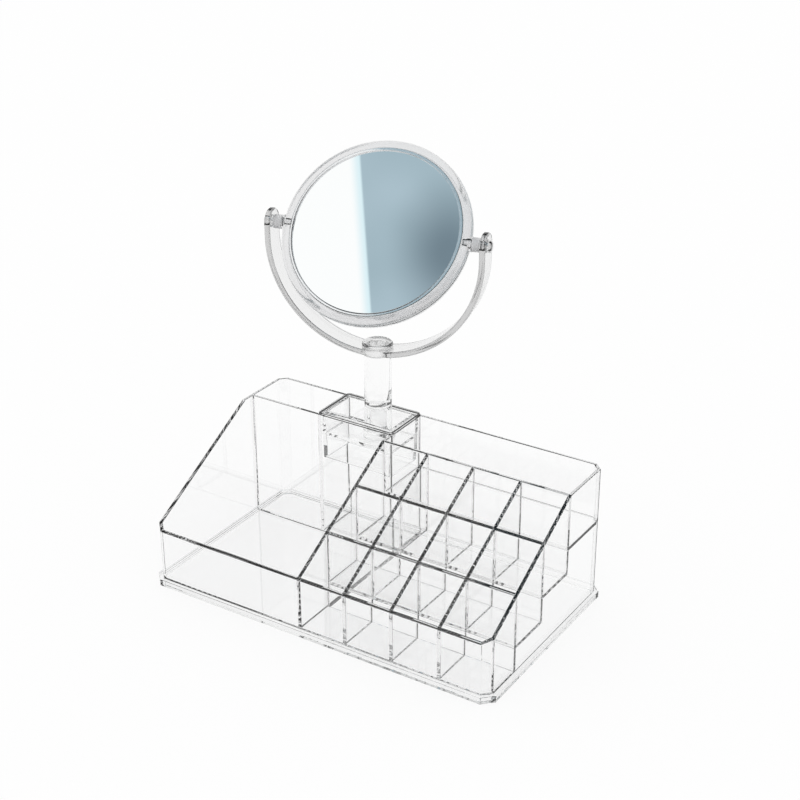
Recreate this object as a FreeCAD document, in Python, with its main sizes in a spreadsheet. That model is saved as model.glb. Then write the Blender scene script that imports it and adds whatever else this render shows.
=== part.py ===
"""A clear vanity organizer: a moulded cosmetic tray, and a round mirror that tilts and swivels on a stand.

The frame has +Z up and the front towards -Y. The origin is the middle of the tray's base, on the surface
that it stands on. Lengths are in millimetres and angles in degrees.
"""
import FreeCAD, Part
import enum
import os
import Sketcher

doc = FreeCAD.newDocument("vanity_organizer")
sheet = doc.addObject("Spreadsheet::Sheet", "Sizes")


class Length:
    """A size: the expression that ties it to the sheet, and what that comes to."""

    def __init__(self, text, value):
        self.text = text
        self.value = value

    def joined(self, sign, other, value):
        text = other.text if isinstance(other, Length) else repr(other)
        return Length(f"({self.text} {sign} {text})", value)

    def __add__(self, other):
        return self.joined("+", other, self.value + other.value)

    def __sub__(self, other):
        return self.joined("-", other, self.value - other.value)

    def __mul__(self, share):
        return self.joined("*", share, self.value * share)

    def __truediv__(self, share):
        return self.joined("/", share, self.value / share)

    def __neg__(self):
        return Length(f"(-1 * {self.text})", -self.value)


ZERO = Length("0", 0.0)
sheet_rows = []


def size(name, value, meaning):
    """Adds one driving dimension to the sheet."""
    sheet_rows.append(name)
    row = len(sheet_rows)
    sheet.set(f"A{row}", meaning)
    sheet.set(f"B{row}", str(value))
    sheet.setAlias(f"B{row}", name)
    return Length(f"Sizes.{name}", value)


# The tray's outside
body_width = size("body_width", 220.0, "tray across its outer walls")
body_height = size("body_height", 78.3, "tall walls above the flange")
front_height = size("front_height", 30.7, "low front wall above the flange")
wall = size("wall", 2.0, "thickness of the tray's walls")
floor_thickness = size("floor_thickness", 2.0, "thickness of the tray's floors")
corner_bevel = size("corner_bevel", 4.8, "flat across each upright outer corner")
flange_overhang = size("flange_overhang", 2.4, "base flange beyond the outer walls")
flange_height = size("flange_height", 4.0, "height of the base flange")
cut_overrun = size("cut_overrun", 5.0, "how far cuts run past the material")

# The tray's inside, from the left and front outer walls to the middle of each inner wall
centre_wall_place = size("centre_wall_place", 100.6, "wall between the open tray and the lipstick rows")
partition_place = size("partition_place", 50.2, "wall between the two rear cells")
row_depth = size("row_depth", 28.6, "depth of a lipstick row, wall to wall")
row_rise = size("row_rise", 15.2, "step up from one lipstick row to the next")
rear_depth = size("rear_depth", 39.7, "middle of the last row wall to the back of the tray")
cell_setback = size("cell_setback", 8.3, "front wall of the two rear cells behind the last row wall")
column_count = 4
row_count = 3

# The plug that carries the mirror
rim_height = size("rim_height", 1.2, "rim that lies on the walls of the middle rear cell")
rim_corner = size("rim_corner", 3.0, "rounding of the rim's corners")
pan_depth = size("pan_depth", 13.0, "pan below the rim's top")
skirt_depth = size("skirt_depth", 29.6, "skirt below the rim's top")
plug_wall = size("plug_wall", 1.8, "walls and floor of the plug's pan")
skirt_wall = size("skirt_wall", 2.4, "wall of the skirt at its top")
plug_clearance = size("plug_clearance", 0.4, "gap between the skirt and the cell")
plug_draft = size("plug_draft", 1.0, "slope of the skirt in degrees")
socket_aside = size("socket_aside", 5.0, "socket to the right of the cell's middle")
socket_back = size("socket_back", 1.8, "socket behind the cell's middle")
socket_top = size("socket_top", 6.6, "socket above the rim's top")
socket_floor = size("socket_floor", 3.6, "solid foot of the socket, above the pan's floor")
swivel_clearance = size("swivel_clearance", 0.05, "gap round the spigot that turns in the socket")

# The post
post_diameter = size("post_diameter", 16.0, "post, and the socket that it stands on")
post_length = size("post_length", 32.4, "post between the socket and the yoke")
spigot_diameter = size("spigot_diameter", 10.0, "spigot at each end of the post")
spigot_relief = size("spigot_relief", 0.5, "room beyond the end of each spigot")
spigot_chamfer = size("spigot_chamfer", 0.6, "lead at the ends of the post")

# The yoke
leg_length = size("leg_length", 7.5, "straight leg from the bend up to the tilt axis")
band_width = size("band_width", 15.0, "width of the yoke's band")
band_thickness = size("band_thickness", 3.5, "thickness of the yoke's band")
ear_rise = size("ear_rise", 7.5, "ears above the tilt axis")
band_edge = size("band_edge", 0.6, "chamfer of the band's long edges")
hub_diameter = size("hub_diameter", 18.0, "hub at the foot of the yoke")
hub_rise = size("hub_rise", 3.5, "hub above the band")
hub_roof = size("hub_roof", 1.5, "hub over the post's spigot")
hub_edge = size("hub_edge", 1.5, "chamfer of the hub's top")
swivel_angle = size("swivel_angle", 13.0, "yoke turned to the right, as it is left")
ear_round_share = 0.96  # rounding of the ears, of half the band's width

# The mirror and its ring
mirror_tilt = size("mirror_tilt", 40.5, "mirror leaning back, as it is left")
view_diameter = size("view_diameter", 96.2, "mirror that shows inside the ring")
lip_thickness = size("lip_thickness", 1.5, "lip of the ring in front of the glass")
glass_lap = size("glass_lap", 1.8, "glass behind the lip")
glass_clearance = size("glass_clearance", 0.2, "gap round the glass")
glass_thickness = size("glass_thickness", 2.0, "thickness of each glass")
spacer_thickness = size("spacer_thickness", 2.0, "disc between the two glasses")
bezel_lap = size("bezel_lap", 1.6, "rear bezel beyond the glass")
bezel_clearance = size("bezel_clearance", 0.1, "gap round the rear bezel")
ring_wall = size("ring_wall", 3.5, "ring outside the rear bezel")
lip_edge_share = 0.65  # chamfer round the view, of the lip's thickness
ring_edge_share = 0.86  # rounding of the ring's outer edges, of its wall

# Where the flats of a rounded outer edge meet: inwards and down from the corner, of the rounding
edge_flat_shares = ((1, 0), (0.5, 0.134), (0.134, 0.5), (0, 1))

# The pivots
pin_diameter = size("pin_diameter", 4.0, "pivot pin")
pin_wall = size("pin_wall", 0.4, "wall between the pin's end and the glass")
pin_clearance = size("pin_clearance", 0.05, "gap round the pin in the yoke's ear")
pivot_play = size("pivot_play", 0.25, "gap each side of the ear along the pin")
head_diameter = size("head_diameter", 7.0, "head of the pin")
head_height = size("head_height", 1.8, "height of the pin's head")
head_edge = size("head_edge", 0.9, "chamfer of the pin's head")
boss_inset = size("boss_inset", 0.2, "boss at each pivot inside the ring's faces")
boss_rise = size("boss_rise", 1.0, "boss beyond the ring's outside")
bush_length = size("bush_length", 5.25, "sleeve between the ring and the ear")
bush_diameter = size("bush_diameter", 8.0, "outside of that sleeve")

doc.recompute()

Point = enum.IntEnum("Point", "START END CENTRE")
ORIGIN = -1
ACROSS = FreeCAD.Vector(1, 0, 0)
UP = FreeCAD.Vector(0, 0, 1)
TOLERANCE = 1e-4


def plane(body, role):
    """One of the body's own origin planes or axes."""
    return next(feature for feature in body.Origin.OriginFeatures if feature.Role == role)


def new_body(label):
    """An empty sub-part, whose label names its file."""
    body = doc.addObject("PartDesign::Body", label)
    body.Label = label
    return body


def new_sketch(body, name, role="XY_Plane", offset=ZERO):
    """A sketch on one of the body's origin planes, or at a distance along that plane's normal."""
    sketch = body.newObject("Sketcher::SketchObject", f"{body.Label}_{name}")
    sketch.AttachmentSupport = (plane(body, role), [""])
    sketch.MapMode = "FlatFace"
    sketch.setExpression("AttachmentOffset.Base.z", offset.text)
    return sketch


def hold(sketch, kind, geometry, point, length):
    """Holds a point of the sketch at a distance from its origin."""
    constraint = Sketcher.Constraint(kind, ORIGIN, Point.START, geometry, point, length.value)
    number = sketch.addConstraint(constraint)
    sketch.setExpression(f"Constraints[{number}]", length.text)


def outline(sketch, corners):
    """Draws a closed outline of straight lines, with each corner held at its place."""
    points = [FreeCAD.Vector(across.value, along.value, 0) for across, along in corners]
    lines = []
    for start, end in zip(points, points[1:] + points[:1]):
        lines.append(sketch.addGeometry(Part.LineSegment(start, end), False))
    for before, line, (across, along) in zip(lines[-1:] + lines, lines, corners):
        sketch.addConstraint(Sketcher.Constraint("Coincident", before, Point.END, line, Point.START))
        hold(sketch, "DistanceX", line, Point.START, across)
        hold(sketch, "DistanceY", line, Point.START, along)


def rectangle(sketch, left, front, right, back):
    """Draws an upright rectangle."""
    outline(sketch, [(left, front), (right, front), (right, back), (left, back)])


def bevelled(sketch, left, front, right, back, bevel):
    """Draws a rectangle with a bevel across each corner."""
    outline(sketch, [
        (left + bevel, front), (right - bevel, front), (right, front + bevel), (right, back - bevel),
        (right - bevel, back), (left + bevel, back), (left, back - bevel), (left, front + bevel)])


def rear_right_bevelled(sketch, left, front, right, back, bevel):
    """Draws a rectangle with a bevel across its right rear corner alone."""
    outline(sketch, [
        (left, front), (right, front), (right, back - bevel), (right - bevel, back), (left, back)])


def circle(sketch, across, along, diameter):
    """Draws a circle."""
    centre = FreeCAD.Vector(across.value, along.value, 0)
    geometry = sketch.addGeometry(Part.Circle(centre, UP, diameter.value / 2), False)
    hold(sketch, "DistanceX", geometry, Point.CENTRE, across)
    hold(sketch, "DistanceY", geometry, Point.CENTRE, along)
    number = sketch.addConstraint(Sketcher.Constraint("Diameter", geometry, diameter.value))
    sketch.setExpression(f"Constraints[{number}]", diameter.text)


def pad(body, sketch, length, back=False, draft=None):
    """Raises a sketch into a solid."""
    feature = body.newObject("PartDesign::Pad", f"{sketch.Name}_pad")
    feature.Profile = sketch
    feature.setExpression("Length", length.text)
    feature.Reversed = back
    if draft is not None:
        feature.setExpression("TaperAngle", draft.text)
    doc.recompute()
    return feature


def pocket(body, sketch, length=None, both_ways=False, forward=False):
    """Cuts a sketch out of the body, to a depth or right through, and checks that it cut something."""
    before = body.Shape.Volume
    feature = body.newObject("PartDesign::Pocket", f"{sketch.Name}_pocket")
    feature.Profile = sketch
    feature.SideType = "Symmetric" if both_ways else "One side"
    feature.Reversed = forward
    if length is None:
        feature.Type = "ThroughAll"
    else:
        feature.setExpression("Length", length.text)
    doc.recompute()
    if not body.Shape.Volume < before:
        raise RuntimeError(f"{feature.Name} cut nothing")
    return feature


def revolve(body, sketch, axis, angle=360):
    """Turns a sketch about one of its own axes, right round unless an angle is given."""
    feature = body.newObject("PartDesign::Revolution", f"{sketch.Name}_turned")
    feature.Profile = sketch
    feature.ReferenceAxis = (sketch, [axis])
    feature.Angle = angle
    doc.recompute()
    return feature


def repeat_across(body, feature, spacing, count):
    """Repeats a feature along X, at an even spacing."""
    pattern = body.newObject("PartDesign::LinearPattern", f"{feature.Name}_repeat")
    pattern.Originals = [feature]
    pattern.Direction = (plane(body, "X_Axis"), [""])
    pattern.setExpression("Length", (spacing * (count - 1)).text)
    pattern.Occurrences = count
    body.Tip = pattern
    doc.recompute()
    return pattern


def dress_edges(body, kind, length, wanted):
    """Rounds (Fillet) or bevels (Chamfer) the edges that the test picks out."""
    base = body.Tip
    names = [f"Edge{number}" for number, edge in enumerate(base.Shape.Edges, 1) if wanted(edge)]
    feature = body.newObject(f"PartDesign::{kind}", f"{body.Label}_{kind.lower()}_{len(body.Group)}")
    feature.Base = (base, names)
    feature.setExpression("Radius" if kind == "Fillet" else "Size", length.text)
    doc.recompute()
    return feature


def is_circle(edge, diameter):
    """Tells whether an edge is a circle of a diameter."""
    return isinstance(edge.Curve, Part.Circle) and abs(edge.Curve.Radius * 2 - diameter.value) < TOLERANCE


def lies_along(edge, axis):
    """Tells whether an edge is straight and runs along an axis."""
    return isinstance(edge.Curve, Part.Line) and edge.Curve.Direction.cross(axis).Length < TOLERANCE


def at_place(edge, axis, length):
    """Tells whether an edge's middle lies at a place along an axis."""
    return abs(getattr(edge.CenterOfMass, axis) - length.value) < TOLERANCE


def place(body, base, turns=()):
    """Ties the body's place to the sheet: a point, and turns about X or Z, the last turn first."""
    point = "; ".join(length.text for length in base)
    turned = " * ".join(f"rotation(vector({axis}); {angle.text})" for axis, angle in turns)
    body.setExpression("Placement", f"placement(vector({point}); {turned or 'rotation(vector(0; 0; 1); 0)'})")
    doc.recompute()


# The tray is drawn from its left front lower corner, where the outer walls would meet the flange's foot.
tray = new_body("organizer_tray")
tray_top = flange_height + body_height
row_places = [row_depth * step for step in range(row_count + 1)]
body_depth = row_places[row_count] + rear_depth
rear_cell_place = row_places[row_count] + cell_setback
inner_right = body_width - wall
inner_back = body_depth - wall

# A bevel that is offset by a wall grows or shrinks by this share of the wall.
bevel_share = 2 - 2 ** 0.5
inner_bevel = corner_bevel - wall * bevel_share
flange_bevel = corner_bevel + flange_overhang * bevel_share
half_wall = wall / 2
column_pitch = (inner_right + half_wall - centre_wall_place) / column_count

flange = new_sketch(tray, "flange")
bevelled(flange, -flange_overhang, -flange_overhang, body_width + flange_overhang,
         body_depth + flange_overhang, flange_bevel)
pad(tray, flange, flange_height)

outside = new_sketch(tray, "outside")
bevelled(outside, ZERO, ZERO, body_width, body_depth, corner_bevel)
pad(tray, outside, tray_top)

cavity = new_sketch(tray, "cavity", offset=flange_height)
bevelled(cavity, wall, wall, inner_right, inner_back, inner_bevel)
pocket(tray, cavity, forward=True)

recess = new_sketch(tray, "recess")
bevelled(recess, wall, wall, inner_right, inner_back, inner_bevel)
pocket(tray, recess, flange_height - floor_thickness, forward=True)

# Each lipstick row stands one step above the row in front of it, and the tray is hollow under the steps.
row_floors = [flange_height + row_rise * step for step in range(row_count + 1)]
underside = new_sketch(tray, "underside")
rear_right_bevelled(underside, centre_wall_place + half_wall, row_places[1] + half_wall, inner_right,
                    inner_back, inner_bevel)
pocket(tray, underside, flange_height, forward=True)


def upright_wall(name, left, front, right, back, foot):
    """Raises a wall from under a floor to the tray's full height."""
    sketch = new_sketch(tray, name, offset=foot - floor_thickness)
    rectangle(sketch, left, front, right, back)
    return pad(tray, sketch, tray_top - foot + floor_thickness)


upright_wall("centre_wall", centre_wall_place - half_wall, half_wall, centre_wall_place + half_wall,
             body_depth - half_wall, flange_height)
upright_wall("rear_cell_wall", half_wall, rear_cell_place - half_wall, centre_wall_place,
             rear_cell_place + half_wall, flange_height)
upright_wall("partition", partition_place - half_wall, rear_cell_place, partition_place + half_wall,
             body_depth - half_wall, flange_height)

for row in range(row_count):
    row_front = row_places[row]
    row_back = row_places[row + 1]
    upright_wall(f"row_wall_{row}", centre_wall_place, row_back - half_wall, body_width - half_wall,
                 row_back + half_wall, row_floors[row])
    step = new_sketch(tray, f"step_floor_{row}", offset=row_floors[row + 1] - floor_thickness)
    if row + 1 < row_count:
        rectangle(step, centre_wall_place, row_back, body_width - half_wall, row_places[row + 2])
    else:
        rear_right_bevelled(step, centre_wall_place, row_back, body_width - half_wall, body_depth - half_wall,
                            corner_bevel - half_wall * bevel_share)
    pad(tray, step, floor_thickness)
    first_divider = centre_wall_place + column_pitch
    divider = upright_wall(f"divider_{row}", first_divider - half_wall, row_front + half_wall,
                           first_divider + half_wall, row_back, row_floors[row])
    repeat_across(tray, divider, column_pitch, column_count - 1)

# One sloped cut runs from the low front wall up to the last row wall, through every wall in its way.
slope = new_sketch(tray, "slope", "YZ_Plane")
slope_foot = flange_height + front_height
outline(slope, [
    (-cut_overrun, slope_foot), (ZERO, slope_foot), (row_places[row_count], tray_top),
    (row_places[row_count], tray_top + cut_overrun), (-cut_overrun, tray_top + cut_overrun)])
pocket(tray, slope, body_width + cut_overrun, forward=True)
place(tray, (-body_width / 2, -body_depth / 2, ZERO))

# The middle rear cell, seen from the tray's own origin
cell_left = partition_place - body_width / 2
cell_right = centre_wall_place - body_width / 2
cell_front = rear_cell_place - body_depth / 2
cell_back = body_depth / 2 - half_wall
cell_width = cell_right - cell_left
cell_depth = cell_back - cell_front
cell_across = (cell_left + cell_right) / 2
cell_along = (cell_front + cell_back) / 2

# The plug is drawn from the middle of the cell, at the level of the wall tops.
plug = new_body("mirror_base")
rim = new_sketch(plug, "rim")
rim_half_width = (cell_width + wall) / 2
rim_half_depth = (cell_depth + wall) / 2
rectangle(rim, -rim_half_width, -rim_half_depth, rim_half_width, rim_half_depth)
pad(plug, rim, rim_height)
dress_edges(plug, "Fillet", rim_corner, lambda edge: lies_along(edge, UP))

skirt_half_width = (cell_width - wall) / 2 - plug_clearance
skirt_half_depth = (cell_depth - wall) / 2 - plug_clearance
skirt = new_sketch(plug, "skirt")
rectangle(skirt, -skirt_half_width, -skirt_half_depth, skirt_half_width, skirt_half_depth)
pad(plug, skirt, skirt_depth - rim_height, back=True, draft=-plug_draft)

pan_half_width = skirt_half_width - plug_wall
pan_half_depth = skirt_half_depth - plug_wall
pan_floor = rim_height - pan_depth
pan = new_sketch(plug, "pan", offset=rim_height)
rectangle(pan, -pan_half_width, -pan_half_depth, pan_half_width, pan_half_depth)
pocket(plug, pan, pan_depth)

hollow = new_sketch(plug, "hollow", offset=rim_height - skirt_depth)
rectangle(hollow, skirt_wall - skirt_half_width, skirt_wall - skirt_half_depth, skirt_half_width - skirt_wall,
          skirt_half_depth - skirt_wall)
pocket(plug, hollow, skirt_depth - pan_depth - plug_wall, forward=True)

socket_upper = rim_height + socket_top
socket_depth = socket_top + pan_depth - socket_floor
socket = new_sketch(plug, "socket", offset=pan_floor)
circle(socket, socket_aside, socket_back, post_diameter)
pad(plug, socket, socket_upper - pan_floor)
bore = new_sketch(plug, "bore", offset=socket_upper)
circle(bore, socket_aside, socket_back, spigot_diameter + swivel_clearance * 2)
pocket(plug, bore, socket_depth)
place(plug, (cell_across, cell_along, tray_top))

# The post is drawn up its own axis, from the top of the socket.
post_across = cell_across + socket_aside
post_along = cell_along + socket_back
post_foot = tray_top + socket_upper
post_top = post_foot + post_length
spigot_top = band_thickness + hub_rise - hub_roof - spigot_relief
post = new_body("post")
spigot_low = spigot_relief - socket_depth
spigot_radius = spigot_diameter / 2
post_radius = post_diameter / 2
profile = new_sketch(post, "profile", "XZ_Plane")
outline(profile, [
    (ZERO, spigot_low), (spigot_radius - spigot_chamfer, spigot_low),
    (spigot_radius, spigot_low + spigot_chamfer), (spigot_radius, ZERO), (post_radius, ZERO),
    (post_radius, post_length), (spigot_radius, post_length),
    (spigot_radius, post_length + spigot_top - spigot_chamfer),
    (spigot_radius - spigot_chamfer, post_length + spigot_top), (ZERO, post_length + spigot_top)])
revolve(post, profile, "V_Axis")
place(post, (post_across, post_along, post_foot))

# The mirror's section, outwards from the middle of the tilt axis, sets how far apart the yoke's ears are.
view_radius = view_diameter / 2
glass_radius = view_radius + glass_lap
pocket_radius = glass_radius + glass_clearance
recess_radius = glass_radius + bezel_lap
ring_radius = recess_radius + ring_wall
boss_face = ring_radius + boss_rise
bush_end = boss_face + bush_length
band_inside = bush_end + pivot_play
half_spacer = spacer_thickness / 2
stack = half_spacer + glass_thickness
half_ring = stack + lip_thickness

# The yoke is drawn from the middle of its bend. Its own X runs along the tilt axis.
yoke = new_body("yoke")
yoke_half_width = band_inside + band_thickness
half_band = band_width / 2
section = new_sketch(yoke, "section")
rectangle(section, band_inside, -half_band, yoke_half_width, half_band)
revolve(yoke, section, "V_Axis", angle=180)
for name, near_side, far_side in (("right_leg", band_inside, yoke_half_width),
                                  ("left_leg", -yoke_half_width, -band_inside)):
    leg = new_sketch(yoke, name)
    rectangle(leg, near_side, -half_band, far_side, half_band)
    pad(yoke, leg, leg_length + ear_rise)
ear_top = leg_length + ear_rise
dress_edges(yoke, "Fillet", half_band * ear_round_share,
            lambda edge: lies_along(edge, ACROSS) and at_place(edge, "z", ear_top))
dress_edges(yoke, "Chamfer", band_edge,
            lambda edge: at_place(edge, "y", half_band) or at_place(edge, "y", -half_band))

hub = new_sketch(yoke, "hub", offset=-yoke_half_width)
circle(hub, ZERO, ZERO, hub_diameter)
pad(yoke, hub, band_thickness + hub_rise)
hub_top = band_thickness + hub_rise - yoke_half_width
dress_edges(yoke, "Chamfer", hub_edge,
            lambda edge: is_circle(edge, hub_diameter) and at_place(edge, "z", hub_top))
hub_hole = new_sketch(yoke, "hub_hole", offset=-yoke_half_width)
circle(hub_hole, ZERO, ZERO, spigot_diameter)
pocket(yoke, hub_hole, spigot_top + spigot_relief, forward=True)
pin_hole = new_sketch(yoke, "pin_hole", "YZ_Plane")
circle(pin_hole, ZERO, leg_length, pin_diameter + pin_clearance * 2)
pocket(yoke, pin_hole, both_ways=True)
swivel_turn = ("0; 0; 1", swivel_angle)
place(yoke, (post_across, post_along, post_top + yoke_half_width), [swivel_turn])

# The pieces of the mirror are drawn from the middle of the tilt axis, with the front glass towards -Y.
mirror_turns = [swivel_turn, ("1; 0; 0", -mirror_tilt)]
mirror_middle = (post_across, post_along, post_top + yoke_half_width + leg_length)

ring = new_body("mirror_frame")
profile = new_sketch(ring, "profile")
ring_edge = ring_wall * ring_edge_share
outer_corners = [(ring_radius - ring_edge * inward, half_ring - ring_edge * down)
                 for inward, down in edge_flat_shares]
outline(profile, [
    (view_radius, -half_ring), *[(across, -along) for across, along in outer_corners],
    *outer_corners[::-1], (recess_radius, half_ring), (recess_radius, stack), (pocket_radius, stack),
    (pocket_radius, -stack), (view_radius, -stack)])
revolve(ring, profile, "V_Axis")
lip_edge = lip_thickness * lip_edge_share
dress_edges(ring, "Chamfer", lip_edge,
            lambda edge: is_circle(edge, view_diameter) and at_place(edge, "y", -half_ring))
boss_diameter = (half_ring - boss_inset) * 2
boss_foot = ring_radius - ring_edge
pin_inner_end = pocket_radius + pin_wall
for side in (-1, 1):
    boss = new_sketch(ring, f"boss_{side + 1}", "YZ_Plane", boss_foot * side)
    circle(boss, ZERO, ZERO, boss_diameter)
    pad(ring, boss, boss_face - boss_foot, back=side < 0)
    pin_bore = new_sketch(ring, f"pin_bore_{side + 1}", "YZ_Plane", boss_face * side)
    circle(pin_bore, ZERO, ZERO, pin_diameter)
    pocket(ring, pin_bore, boss_face - pin_inner_end, forward=side < 0)
place(ring, mirror_middle, mirror_turns)

bezel = new_body("rear_bezel")
profile = new_sketch(bezel, "profile")
bezel_radius = recess_radius - bezel_clearance
rectangle(profile, view_radius, stack, bezel_radius, half_ring)
revolve(bezel, profile, "V_Axis")
dress_edges(bezel, "Chamfer", lip_edge,
            lambda edge: is_circle(edge, view_diameter) and at_place(edge, "y", half_ring))
place(bezel, mirror_middle, mirror_turns)


def glass_disc(label, nearest, thickness):
    """A flat round disc inside the ring, with its rear face at a distance in front of the ring's middle."""
    disc = new_body(label)
    face = new_sketch(disc, "face", "XZ_Plane", nearest)
    circle(face, ZERO, ZERO, glass_radius * 2)
    pad(disc, face, thickness)
    place(disc, mirror_middle, mirror_turns)


glass_disc("front_mirror", half_spacer, glass_thickness)
glass_disc("mirror_spacer", -half_spacer, spacer_thickness)
glass_disc("rear_mirror", -stack, glass_thickness)

# A pin goes through each ear and sleeve into the ring, with its head outside the ear.
pin_radius = pin_diameter / 2
head_seat = yoke_half_width + pivot_play
head_end = head_seat + head_height
head_radius = head_diameter / 2
bush_radius = bush_diameter / 2
for name, side in (("left", -1), ("right", 1)):
    pin = new_body(f"{name}_pivot_pin")
    profile = new_sketch(pin, "profile")
    outline(profile, [
        (pin_inner_end * side, ZERO), (head_end * side, ZERO), (head_end * side, head_radius),
        (head_seat * side, head_radius), (head_seat * side, pin_radius), (pin_inner_end * side, pin_radius)])
    revolve(pin, profile, "H_Axis")
    tip = head_end * side
    dress_edges(pin, "Chamfer", head_edge,
                lambda edge: is_circle(edge, head_diameter) and at_place(edge, "x", tip))
    place(pin, mirror_middle, mirror_turns)

    bush = new_body(f"{name}_pivot_bush")
    profile = new_sketch(bush, "profile")
    rectangle(profile, boss_face * side, pin_radius, bush_end * side, bush_radius)
    revolve(bush, profile, "H_Axis")
    place(bush, mirror_middle, mirror_turns)

doc.recompute()
failed = [thing.Name for thing in doc.Objects if {"Invalid", "Error"} & set(thing.State)]
if failed:
    raise RuntimeError(f"these did not build: {failed}")
bodies = [thing for thing in doc.Objects if thing.TypeId == "PartDesign::Body"]
for body in bodies:
    if body.Shape.isNull() or not body.Shape.isValid() or len(body.Shape.Solids) != 1:
        raise RuntimeError(f"{body.Label} is not one sound solid")

os.makedirs("parts", exist_ok=True)
for body in bodies:
    body.Shape.exportStep(f"parts/{body.Label}.step")
    print(body.Label, round(body.Shape.Volume), "mm3")
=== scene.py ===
from math import pi, radians

import bmesh
import bpy
from mathutils import Matrix


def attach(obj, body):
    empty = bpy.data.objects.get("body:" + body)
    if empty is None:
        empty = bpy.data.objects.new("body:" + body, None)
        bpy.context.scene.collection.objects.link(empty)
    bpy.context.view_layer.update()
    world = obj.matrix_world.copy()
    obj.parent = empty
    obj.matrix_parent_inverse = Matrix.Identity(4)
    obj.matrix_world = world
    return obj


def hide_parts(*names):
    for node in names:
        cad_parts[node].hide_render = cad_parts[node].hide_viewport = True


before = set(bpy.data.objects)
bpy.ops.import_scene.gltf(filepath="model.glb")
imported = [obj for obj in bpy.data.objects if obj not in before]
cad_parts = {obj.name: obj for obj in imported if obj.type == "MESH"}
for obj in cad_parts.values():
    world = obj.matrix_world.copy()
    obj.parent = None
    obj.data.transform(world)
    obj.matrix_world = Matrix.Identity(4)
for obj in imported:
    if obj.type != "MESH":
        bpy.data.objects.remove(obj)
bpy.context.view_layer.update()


# The tray is one injection moulding in clear plastic, 2 mm thick, with sixteen compartments over a base
# flange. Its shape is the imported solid's, with the slight rounding that the mould leaves along every edge.
tray_rounding = 0.0003
weld = 1e-6  # corners nearer than this are one corner
clear_tint = (0.998, 0.999, 0.999, 1.0)


class Lead:
    """A value in a finish's node tree: sums on it add Math nodes, and the other methods add other nodes."""

    def __init__(self, tree, socket=None):
        self.tree = tree
        self.socket = socket

    def node(self, kind, settings=(), sockets=(), out=0):
        made = self.tree.nodes.new(kind)
        for name, value in dict(settings).items():
            setattr(made, name, value)
        for name, value in dict(sockets).items():
            if isinstance(value, Lead):
                self.tree.links.new(value.socket, made.inputs[name])
            else:
                made.inputs[name].default_value = value
        return Lead(self.tree, made.outputs[out] if made.outputs else None)

    def beside(self, out):
        """Another output of the node that this value comes from."""
        return Lead(self.tree, self.socket.node.outputs[out])

    def place(self):
        """Where a point is on its piece."""
        return self.node("ShaderNodeTexCoord", out="Object")

    def noise(self, place, scale, detail):
        return self.node("ShaderNodeTexNoise", {}, {"Vector": place, "Scale": scale, "Detail": detail})

    def ramp(self, value, start, end, low=0.0, high=1.0, kind="LINEAR"):
        return self.node("ShaderNodeMapRange", {"interpolation_type": kind}, {
            "Value": value, "From Min": start, "From Max": end, "To Min": low, "To Max": high})

    def bump(self, height, strength, distance):
        return self.node("ShaderNodeBump", {}, {"Height": height, "Strength": strength, "Distance": distance})

    def sum(self, operation, first, second):
        return self.node("ShaderNodeMath", {"operation": operation}, {0: first, 1: second})

    def __add__(self, other):
        return self.sum("ADD", self, other)

    def __radd__(self, other):
        return self.sum("ADD", other, self)

    def __sub__(self, other):
        return self.sum("SUBTRACT", self, other)

    def __rsub__(self, other):
        return self.sum("SUBTRACT", other, self)

    def __mul__(self, other):
        return self.sum("MULTIPLY", self, other)


def new_finish(name):
    """An empty material, and the start of its node tree."""
    material = bpy.data.materials.new(name)
    material.use_nodes = True
    material.node_tree.nodes.clear()
    return material, Lead(material.node_tree)


def clear_plastic(name, tint, haze, gloss_loss, depth_loss, waves=0.08):
    """Clear plastic that greys with depth, with faint flow waves, smudges and a few hairline scuffs."""
    refraction, wave_height, absorbed = 1.49, 0.0004, (0.5, 0.5, 0.5, 1.0)
    flow_scale, smudge_scale, scuff_stretch = 26.0, 48.0, (14.0, 900.0, 90.0)
    scuff_start, scuff_full, scuff_dulling = 0.7, 0.78, 0.03
    material, lead = new_finish(name)
    place = lead.place()
    flow = lead.noise(place, flow_scale, 1.0)
    smudge = lead.noise(place, smudge_scale, 4.0)
    along = lead.node("ShaderNodeMapping", {}, {"Vector": place, "Scale": scuff_stretch})
    scuff = lead.ramp(lead.noise(along, 1.0, 1.0), scuff_start, scuff_full)
    plastic = lead.node("ShaderNodeBsdfPrincipled", {}, {
        "Base Color": tint, "Roughness": smudge * gloss_loss + scuff * scuff_dulling, "IOR": refraction,
        "Transmission Weight": 1 - haze, "Normal": lead.bump(flow, waves, wave_height)})
    depth = lead.node("ShaderNodeVolumeAbsorption", {}, {"Color": absorbed, "Density": depth_loss})
    lead.node("ShaderNodeOutputMaterial", {}, {"Surface": plastic, "Volume": depth})
    return material


def moulded_copy(node, rounding):
    """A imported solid's shape, with its loose triangles joined into faces and its edges slightly rounded."""
    flat_turn, edge_turn = radians(1), radians(30)
    form = bmesh.new()
    form.from_mesh(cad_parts[node].data)
    bmesh.ops.remove_doubles(form, verts=form.verts, dist=weld)
    bmesh.ops.dissolve_limit(form, angle_limit=flat_turn, verts=form.verts, edges=form.edges)
    edges = [edge for edge in form.edges if edge.calc_face_angle(0) > edge_turn]
    bmesh.ops.bevel(form, geom=edges, offset=rounding, segments=2, profile=0.5, affect="EDGES", material=-1)
    return form


def smooth_curves(form):
    """Shades curved faces as curves and leaves flat faces and sharp edges as they are."""
    flat_turn, sharp_turn = radians(0.2), radians(32)
    for edge in form.edges:
        turn = edge.calc_face_angle(0)
        edge.smooth = turn < sharp_turn
        if flat_turn < turn < sharp_turn:
            for face in edge.link_faces:
                face.smooth = True


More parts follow.
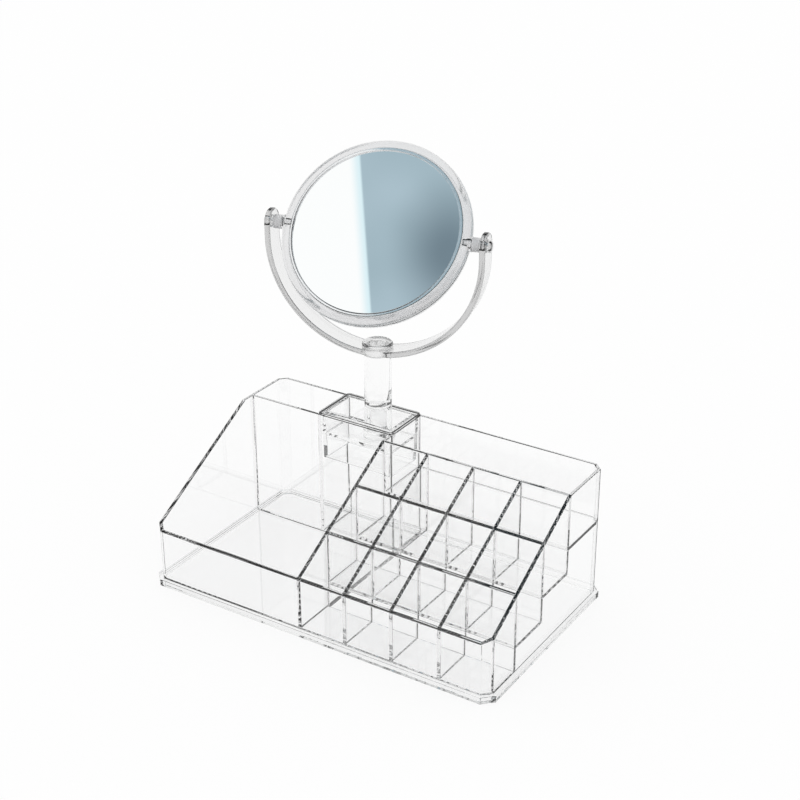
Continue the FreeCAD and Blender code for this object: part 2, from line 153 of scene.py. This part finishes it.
def finished(name, form, materials=()):
    """The object made of a form, which is used up."""
    mesh = bpy.data.meshes.new(name)
    form.to_mesh(mesh)
    form.free()
    for material in materials:
        mesh.materials.append(material)
    piece = bpy.data.objects.new(name, mesh)
    bpy.context.scene.collection.objects.link(piece)
    return piece


def set_in_place(name, form, materials, body, node):
    """Makes the finished piece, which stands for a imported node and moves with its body."""
    piece = finished(name, form, materials)
    shading = piece.modifiers.new("flat_faces_lead", "WEIGHTED_NORMAL")
    shading.mode = "FACE_AREA"
    shading.weight = 100
    shading.keep_sharp = True
    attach(piece, body)
    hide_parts(node)


tray_plastic = clear_plastic("tray_plastic", clear_tint, haze=0.0, gloss_loss=0.02, depth_loss=6.0)
set_in_place("clear_tray", moulded_copy("organizer_tray", tray_rounding), [tray_plastic], "tray",
             "organizer_tray")


# The mirror's foot is a clear moulded plug that drops into the middle rear cell and hangs there by its rim.
# A pan in its top holds small things, and the tall round boss in the pan is the socket of the post.
plug_rounding = 0.00025
plug = moulded_copy("mirror_base", plug_rounding)
smooth_curves(plug)
plug_plastic = clear_plastic("plug_plastic", clear_tint, haze=0.0, gloss_loss=0.02, depth_loss=2.0)
set_in_place("mirror_plug", plug, [plug_plastic], "stand", "mirror_base")


# The post is a clear round stem with a spigot at each end: the lower one turns in the socket, and the yoke
# is pressed on the upper one.
stand_x, stand_y = -0.0296, 0.04835
post_radius, post_foot, post_top, post_edge = 0.008, 0.09015, 0.12252, 0.0003
spigot_radius, pressed_radius = 0.00495, 0.00502
spigot_low, spigot_high, spigot_edge = 0.0746, 0.1274, 0.0006


def half_section(points, roundings, middle):
    """The rounded outline of half a section, open along its middle, where that coordinate is nought."""
    form = bmesh.new()
    corners = [form.verts.new(point) for point in points]
    form.faces.new(corners)
    for corner, rounding in zip(corners, roundings):
        if rounding:
            bmesh.ops.bevel(form, geom=[corner], offset=rounding, segments=10, profile=0.5,
                            affect="VERTICES", material=-1)
    bmesh.ops.delete(form, geom=form.faces[:], context="FACES_ONLY")
    inside = [edge for edge in form.edges if all(end.co[middle] < weld for end in edge.verts)]
    bmesh.ops.delete(form, geom=inside, context="EDGES")
    return form


def turned(corners, steps=128):
    """A round piece: its half section, with corners as radius, height and rounding, turned about upright."""
    form = half_section([(radius, 0.0, height) for radius, height, rounding in corners],
                        [rounding for radius, height, rounding in corners], 0)
    bmesh.ops.spin(form, geom=form.verts[:] + form.edges[:], axis=(0, 0, 1), cent=(0, 0, 0), angle=2 * pi,
                   steps=steps, use_merge=True)
    bmesh.ops.remove_doubles(form, verts=form.verts, dist=weld)
    bmesh.ops.recalc_face_normals(form, faces=form.faces)
    smooth_curves(form)
    return form


post = turned([
    (0.0, spigot_low, 0.0), (spigot_radius, spigot_low, spigot_edge), (spigot_radius, post_foot, 0.0),
    (post_radius, post_foot, post_edge), (post_radius, post_top, post_edge),
    (pressed_radius, post_top, 0.0), (pressed_radius, spigot_high, spigot_edge), (0.0, spigot_high, 0.0)])
bmesh.ops.translate(post, verts=post.verts, vec=(stand_x, stand_y, 0.0))
post_plastic = clear_plastic("post_plastic", clear_tint, haze=0.0, gloss_loss=0.02, depth_loss=3.0)
set_in_place("stand_post", post, [post_plastic], "stem", "post")


# The yoke is a clear moulded band bent to a U, with a hub over the post and a rounded ear at each end, where
# a pin holds the mirror's ring. Half its section is bent round and mirrored, and the hub is then joined on
# and the holes for the post and the pins are cut.
band_inside, band_outside, half_band, band_rounding = 0.0615, 0.065, 0.0075, 0.0011
bend_steps, ear_steps, leg_length = 480, 24, 0.0075
hub_radius, hub_low, hub_high, hub_low_edge, hub_high_edge = 0.009, -0.06494, -0.05805, 0.0004, 0.0015
socket_radius, socket_low, socket_high = 0.005, -0.066, -0.0595
drill_radius, drill_reach, drill_steps = 0.00205, 0.07, 48
yoke_height = 0.1875
yoke_turn = Matrix.Rotation(radians(13), 4, "Z")
half_step = Matrix.Rotation(pi / 128, 4, "Z")  # keeps the corners of the tools off those of the band
yoke_tint = (0.99, 0.99, 0.99, 1.0)


def rod(radius, low, high, low_edge=0.0, high_edge=0.0, steps=128):
    """A plain round piece between two heights, with a rounding at each end."""
    return turned([(0.0, low, 0.0), (radius, low, low_edge), (radius, high, high_edge), (0.0, high, 0.0)],
                  steps)


def worked(form, tool, operation):
    """Joins a tool's form to a form (UNION), or cuts it away (DIFFERENCE), and closes the seams it leaves."""
    seam = 5e-6
    pieces = [finished("worked", shape) for shape in (form, tool)]
    step = pieces[0].modifiers.new("step", "BOOLEAN")
    step.object = pieces[1]
    step.operation = operation
    step.solver = "EXACT"
    result = bmesh.new()
    result.from_object(pieces[0], bpy.context.evaluated_depsgraph_get())
    bmesh.ops.remove_doubles(result, verts=result.verts, dist=seam)
    bmesh.ops.dissolve_degenerate(result, edges=result.edges, dist=seam)
    for piece in pieces:
        mesh = piece.data
        bpy.data.objects.remove(piece)
        bpy.data.meshes.remove(mesh)
    return result


def only(parts, kind):
    return [part for part in parts if isinstance(part, kind)]


yoke = half_section([(band_inside, 0.0, 0.0), (band_inside, half_band, 0.0), (band_outside, half_band, 0.0),
                     (band_outside, 0.0, 0.0)], (0.0, band_rounding, band_rounding, 0.0), 1)
first = yoke.edges[:]
bend = bmesh.ops.spin(yoke, geom=yoke.verts[:] + first, axis=(0, 1, 0), cent=(0, 0, 0), angle=pi,
                      steps=bend_steps)
for base in (first, only(bend["geom_last"], bmesh.types.BMEdge)):
    leg = bmesh.ops.extrude_edge_only(yoke, edges=base)["geom"]
    ends = only(leg, bmesh.types.BMVert)
    bmesh.ops.translate(yoke, verts=ends, vec=(0, 0, leg_length))
    rim = [edge for edge in only(leg, bmesh.types.BMEdge)
           if all(end.co.z > leg_length - weld for end in edge.verts)]
    bmesh.ops.spin(yoke, geom=ends + rim, axis=(1, 0, 0), cent=(0, 0, leg_length), angle=pi / 2,
                   steps=ear_steps)
bmesh.ops.remove_doubles(yoke, verts=yoke.verts, dist=weld)
bmesh.ops.mirror(yoke, geom=yoke.verts[:] + yoke.edges[:] + yoke.faces[:], matrix=Matrix(),
                 merge_dist=weld, axis="Y")
bmesh.ops.remove_doubles(yoke, verts=yoke.verts, dist=weld)
bmesh.ops.recalc_face_normals(yoke, faces=yoke.faces)
through_ears = Matrix.Translation((0, 0, leg_length)) @ Matrix.Rotation(radians(90), 4, "Y")
for tool, place, operation in (
        (rod(hub_radius, hub_low, hub_high, hub_low_edge, hub_high_edge), Matrix(), "UNION"),
        (rod(socket_radius, socket_low, socket_high), Matrix(), "DIFFERENCE"),
        (rod(drill_radius, -drill_reach, drill_reach, steps=drill_steps), through_ears, "DIFFERENCE")):
    tool.transform(place @ half_step)
    yoke = worked(yoke, tool, operation)
smooth_curves(yoke)
yoke.transform(Matrix.Translation((stand_x, stand_y, yoke_height)) @ yoke_turn)
yoke_plastic = clear_plastic("yoke_plastic", yoke_tint, haze=0.0, gloss_loss=0.12, depth_loss=60.0,
                             waves=0.01)
set_in_place("mirror_yoke", yoke, [yoke_plastic], "stem", "yoke")


# The mirror's ring is a clear moulding with a domed front. Its lip holds the front glass, and a boss on each
# side takes a pivot pin.
ring_radius, lip_radius, pocket_radius, recess_radius = 0.0548, 0.0481, 0.0501, 0.0515
half_ring, lip_back, recess_floor = 0.0045, -0.0030, 0.00302
ring_rounding, lip_rounding, recess_edge = 0.0030, 0.0011, 0.0002
boss_radius, boss_root, boss_end, boss_edge = 0.0043, 0.0525, 0.056, 0.0005
pin_hole_radius, pin_hole_floor, pin_hole_end = 0.002, 0.0505, 0.06
ring_steps, pivot_steps = 720, 64
pivot_height = 0.195
mirror_tilt = Matrix.Rotation(radians(-40.5), 4, "X")
mirror_place = Matrix.Translation((stand_x, stand_y, pivot_height)) @ yoke_turn @ mirror_tilt
forward = Matrix.Rotation(radians(-90), 4, "X")
sides = {"left": Matrix.Rotation(radians(-90), 4, "Y"), "right": Matrix.Rotation(radians(90), 4, "Y")}
ring_tint = (0.985, 0.985, 0.99, 1.0)
ring = turned([
    (lip_radius, lip_back, 0.0), (lip_radius, -half_ring, lip_rounding),
    (ring_radius, -half_ring, ring_rounding), (ring_radius, half_ring, ring_rounding),
    (recess_radius, half_ring, recess_edge), (recess_radius, recess_floor, 0.0),
    (pocket_radius, recess_floor, 0.0), (pocket_radius, lip_back, 0.0)], ring_steps)
ring.transform(forward)
for aside in sides.values():
    for tool, operation in (
            (rod(boss_radius, boss_root, boss_end, high_edge=boss_edge, steps=pivot_steps), "UNION"),
            (rod(pin_hole_radius, pin_hole_floor, pin_hole_end, steps=pivot_steps), "DIFFERENCE")):
        tool.transform(aside)
        ring = worked(ring, tool, operation)
smooth_curves(ring)
ring.transform(mirror_place)
ring_plastic = clear_plastic("ring_plastic", ring_tint, haze=0.0, gloss_loss=0.28, depth_loss=40.0,
                             waves=0.01)
set_in_place("mirror_ring", ring, [ring_plastic], "mirror", "mirror_frame")


# The front glass is a silvered disc 2 mm thick with a ground edge.
# It lies in the ring's pocket, against the lip.
glass_radius, glass_rounding, glass_steps = 0.0499, 0.0003, 160
front_glass_rear, front_glass_front = -0.00101, -0.00298
silver_tint, ground_tint = (0.97, 0.985, 0.985, 1.0), (0.09, 0.13, 0.12, 1.0)


def silvered(name):
    """Looking glass: a bright silver layer with the faint green of the glass over it and a trace of dust."""
    dust_scale, dust_start, dust_full, dust_dulling = 900.0, 0.68, 0.8, 0.04
    wipe_scale, wipe_dulling = 30.0, 0.02
    material, lead = new_finish(name)
    place = lead.place()
    speck = lead.ramp(lead.noise(place, dust_scale, 3.0), dust_start, dust_full)
    wipe = lead.noise(place, wipe_scale, 2.0)
    silver = lead.node("ShaderNodeBsdfPrincipled", {}, {
        "Base Color": silver_tint, "Metallic": 1.0, "Roughness": wipe * wipe_dulling + speck * dust_dulling})
    lead.node("ShaderNodeOutputMaterial", {}, {"Surface": silver})
    return material


def ground_glass(name):
    """The ground edge of the glass, matt and dark green."""
    grit_scale, least_roughness, grit_roughness = 2500.0, 0.45, 0.3
    material, lead = new_finish(name)
    place = lead.place()
    grit = lead.noise(place, grit_scale, 2.0)
    edge = lead.node("ShaderNodeBsdfPrincipled", {}, {
        "Base Color": ground_tint, "Roughness": least_roughness + grit * grit_roughness})
    lead.node("ShaderNodeOutputMaterial", {}, {"Surface": edge})
    return material


def glass_disc(rear, front):
    """A disc as wide as the glass: its flat sides take the first material, and its edge the second."""
    level = 0.9
    disc = rod(glass_radius, rear, front, glass_rounding, glass_rounding, glass_steps)
    for side in disc.faces:
        side.material_index = 0 if abs(side.normal.z) > level else 1
    disc.transform(mirror_place @ forward)
    return disc


glass_edge = ground_glass("ground_edge")
set_in_place("front_glass", glass_disc(front_glass_rear, front_glass_front),
             [silvered("front_glass"), glass_edge], "mirror", "front_mirror")


# The spacer is a disc of stiff dark board, cut as wide as the glasses. It lies between them, keeps them apart
# and backs their silver.
spacer_rear, spacer_front = 0.00098, -0.00098
board_colour = (0.05, 0.05, 0.055, 1.0)


def board(name):
    """Matt board with a fine fibre."""
    fibre_scale, fibre_strength, fibre_height = 700.0, 0.3, 0.0001
    least_roughness, fibre_roughness = 0.75, 0.2
    material, lead = new_finish(name)
    place = lead.place()
    fibre = lead.noise(place, fibre_scale, 5.0)
    matt = lead.node("ShaderNodeBsdfPrincipled", {}, {
        "Base Color": board_colour, "Roughness": least_roughness + fibre * fibre_roughness,
        "Normal": lead.bump(fibre, fibre_strength, fibre_height)})
    lead.node("ShaderNodeOutputMaterial", {}, {"Surface": matt})
    return material


spacer_board = board("spacer_board")
set_in_place("glass_spacer", glass_disc(spacer_rear, spacer_front), [spacer_board, spacer_board], "mirror",
             "mirror_spacer")


# The rear glass is the same silvered disc, facing the other way.
# It lies on the spacer, and the bezel holds it in the ring.
rear_glass_rear, rear_glass_front = 0.00298, 0.00101
set_in_place("rear_glass", glass_disc(rear_glass_rear, rear_glass_front),
             [silvered("rear_glass"), glass_edge], "mirror", "rear_mirror")


# The rear bezel is a flat ring of the same clear plastic as the mirror's ring. It is pressed into the back of
# that, and holds the rear glass.
bezel_radius, bezel_floor, bezel_edge, bezel_rounding, bezel_steps = 0.05135, 0.00305, 0.0002, 0.001, 192
bezel = turned([
    (lip_radius, bezel_floor, 0.0), (bezel_radius, bezel_floor, 0.0), (bezel_radius, half_ring, bezel_edge),
    (lip_radius, half_ring, bezel_rounding)], bezel_steps)
bezel.transform(mirror_place @ forward)
set_in_place("rear_ring", bezel, [ring_plastic], "mirror", "rear_bezel")


# A clear pin goes through each ear and a pale sleeve into the ring's boss.
# Its round head stands outside the ear, and it turns with the ring.
pin_radius, pin_end, pin_edge = 0.00195, 0.0506, 0.0003
head_radius, head_low, head_high, head_edge, head_rounding = 0.0035, 0.06525, 0.06705, 0.0002, 0.0014
sleeve_bore, sleeve_radius, sleeve_low, sleeve_high, sleeve_edge = 0.00205, 0.004, 0.05605, 0.06125, 0.0003
pin_tint, sleeve_colour = (0.98, 0.98, 0.98, 1.0), (0.85, 0.85, 0.86, 1.0)


def sleeve_plastic(name):
    """Natural, slightly cloudy plastic with a fine moulded grain."""
    grain_scale, grain_strength, grain_height = 1500.0, 0.1, 0.0001
    least_roughness, grain_roughness = 0.25, 0.15
    material, lead = new_finish(name)
    place = lead.place()
    grain = lead.noise(place, grain_scale, 3.0)
    plastic = lead.node("ShaderNodeBsdfPrincipled", {}, {
        "Base Color": sleeve_colour, "Roughness": least_roughness + grain * grain_roughness, "IOR": 1.5,
        "Transmission Weight": 0.4, "Normal": lead.bump(grain, grain_strength, grain_height)})
    lead.node("ShaderNodeOutputMaterial", {}, {"Surface": plastic})
    return material


pin_plastic = clear_plastic("pin_plastic", pin_tint, haze=0.02, gloss_loss=0.03, depth_loss=80.0)
bush_plastic = sleeve_plastic("bush_plastic")
for side, aside in sides.items():
    pin = turned([
        (0.0, pin_end, 0.0), (pin_radius, pin_end, pin_edge), (pin_radius, head_low, 0.0),
        (head_radius, head_low, head_edge), (head_radius, head_high, head_rounding), (0.0, head_high, 0.0)],
        pivot_steps)
    pin.transform(mirror_place @ aside)
    set_in_place(f"{side}_pin", pin, [pin_plastic], "mirror", f"{side}_pivot_pin")
    sleeve = turned([
        (sleeve_bore, sleeve_low, 0.0), (sleeve_radius, sleeve_low, sleeve_edge),
        (sleeve_radius, sleeve_high, sleeve_edge), (sleeve_bore, sleeve_high, 0.0)], pivot_steps)
    sleeve.transform(mirror_place @ aside)
    set_in_place(f"{side}_sleeve", sleeve, [bush_plastic], "mirror", f"{side}_pivot_bush")


# The table is a plain white sheet just under the tray. The camera, gloss and clear plastic see it almost as
# white as it is, with a trace of the shadow that the tray casts.
table_half, table_drop = 3.0, -0.0002
white, table_paint, white_share = (1.0, 1.0, 1.0, 1.0), (0.93, 0.93, 0.93, 1.0), 0.9


def seen_by(lead, *rays):
    """One for rays of these kinds, and nought for the rest."""
    path = lead.node("ShaderNodeLightPath")
    seen = path.beside(rays[0])
    for ray in rays[1:]:
        seen = lead.sum("MAXIMUM", seen, path.beside(ray))
    return seen


def sheet(name, half_width, middle, material):
    """A square sheet of the stage."""
    form = bmesh.new()
    bmesh.ops.create_grid(form, x_segments=1, y_segments=1, size=half_width)
    bmesh.ops.translate(form, verts=form.verts, vec=middle)
    return finished(name, form, [material])


table_white, lead = new_finish("table_white")
bright = lead.node("ShaderNodeEmission", {}, {"Color": white, "Strength": 1.0})
paint = lead.node("ShaderNodeBsdfDiffuse", {}, {"Color": table_paint})
share = seen_by(lead, "Is Camera Ray", "Is Glossy Ray", "Is Transmission Ray") * white_share
lead.node("ShaderNodeOutputMaterial", {}, {
    "Surface": lead.node("ShaderNodeMixShader", {}, {0: share, 1: paint, 2: bright})})
table = sheet("table", table_half, (0.0, 0.0, table_drop), table_white)


# The room is a white sweep that rises behind the tray. To the sides and in front it is dark from a little
# above the horizon, as a studio is behind the camera. Only gloss and clear plastic see that dark.
rear_way, rear_start, rear_full = (-0.541, 0.841, 0.0), 0.3, 0.6
front_height, rear_height, height_blur, darkness = 0.2, 0.64, 0.05, 0.93
world = bpy.data.worlds.new("studio")
bpy.context.scene.world = world
world.use_nodes = True
world.node_tree.nodes.clear()
lead = Lead(world.node_tree)
direction = lead.node("ShaderNodeTexCoord", out="Generated")
upward = lead.node("ShaderNodeSeparateXYZ", {}, {"Vector": direction}, out="Z")
rearward = lead.node("ShaderNodeVectorMath", {"operation": "DOT_PRODUCT"}, {0: direction, 1: rear_way},
                     out="Value")
sweep_top = lead.ramp(rearward, rear_start, rear_full, front_height, rear_height, kind="SMOOTHSTEP")
shade = lead.ramp(upward - sweep_top, -height_blur, height_blur, 0.0, darkness, kind="SMOOTHSTEP")
mirrored = seen_by(lead, "Is Glossy Ray", "Is Transmission Ray")
sweep = lead.node("ShaderNodeBackground", {}, {"Color": white, "Strength": 1 - mirrored * shade})
lead.node("ShaderNodeOutputWorld", {}, {"Surface": sweep})


# Overhead hangs a soft blue-grey panel, white along its left part. Only gloss and clear plastic see it, and
# the mirror shows where its white ends.
panel_half, panel_middle = 0.8, (0.0, -0.3, 1.0)
white_end, white_lean, end_blur, fringe_width = 0.3635, 0.226, 0.002, 0.016
shade_middle, shade_stretch = (-0.150, -0.475, 1.0), (15.0, 10.5, 1.0)
shade_start, shade_end, shade_strength, drift_scale = 0.1, 1.3, 0.8, 9.0
dark_blue, light_blue = (0.30, 0.41, 0.46, 1.0), (0.48, 0.60, 0.68, 1.0)
shade_blue, fringe_blue = (0.12, 0.17, 0.21, 1.0), (0.72, 0.88, 0.93, 1.0)


def mixed(lead, factor, first, second):
    """A colour that runs from the first to the second with the factor."""
    return lead.node("ShaderNodeMix", {"data_type": "RGBA"}, {0: factor, 6: first, 7: second}, out=2)


panel_cloth, lead = new_finish("panel_cloth")
place = lead.place()
across = lead.node("ShaderNodeSeparateXYZ", {}, {"Vector": place}, out="X")
past = across + across.beside("Y") * white_lean + white_end
blue = lead.ramp(past, -end_blur, end_blur, kind="SMOOTHSTEP")
fringe = lead.ramp(past, -fringe_width, 0.0, kind="SMOOTHSTEP")
away = lead.node("ShaderNodeVectorMath", {"operation": "SUBTRACT"}, {0: place, 1: shade_middle})
away = lead.node("ShaderNodeVectorMath", {"operation": "MULTIPLY"}, {0: away, 1: shade_stretch})
away = lead.node("ShaderNodeVectorMath", {"operation": "LENGTH"}, {0: away}, out="Value")
shade = lead.ramp(away, shade_start, shade_end, shade_strength, 0.0, kind="SMOOTHSTEP")
drift = lead.noise(place, drift_scale, 1.0)
cloth = mixed(lead, shade, mixed(lead, drift, dark_blue, light_blue), shade_blue)
colour = mixed(lead, blue, mixed(lead, fringe, white, fringe_blue), cloth)
glow = lead.node("ShaderNodeEmission", {}, {"Color": colour, "Strength": 1.0})
lead.node("ShaderNodeOutputMaterial", {}, {"Surface": glow})
panel = sheet("panel", panel_half, panel_middle, panel_cloth)
panel.visible_camera = panel.visible_diffuse = panel.visible_shadow = False


# The camera looks down from the right of the front, as the photograph does.
camera = bpy.data.cameras.new("camera")
camera.sensor_width = 36.0
camera.lens = 71.915
viewer = bpy.data.objects.new("camera", camera)
viewer.location = (0.43452, -0.65024, 0.49602)
viewer.rotation_euler = (radians(64.285), radians(0.18), radians(32.641))
bpy.context.scene.collection.objects.link(viewer)
bpy.context.scene.camera = viewer
bpy.context.scene.view_settings.view_transform = "Standard"

# Light passes many clear walls, and runs along inside them, before it leaves the tray.
wall_passes = 24
bpy.context.scene.cycles.max_bounces = wall_passes
bpy.context.scene.cycles.transmission_bounces = wall_passes
bpy.context.scene.cycles.glossy_bounces = wall_passes
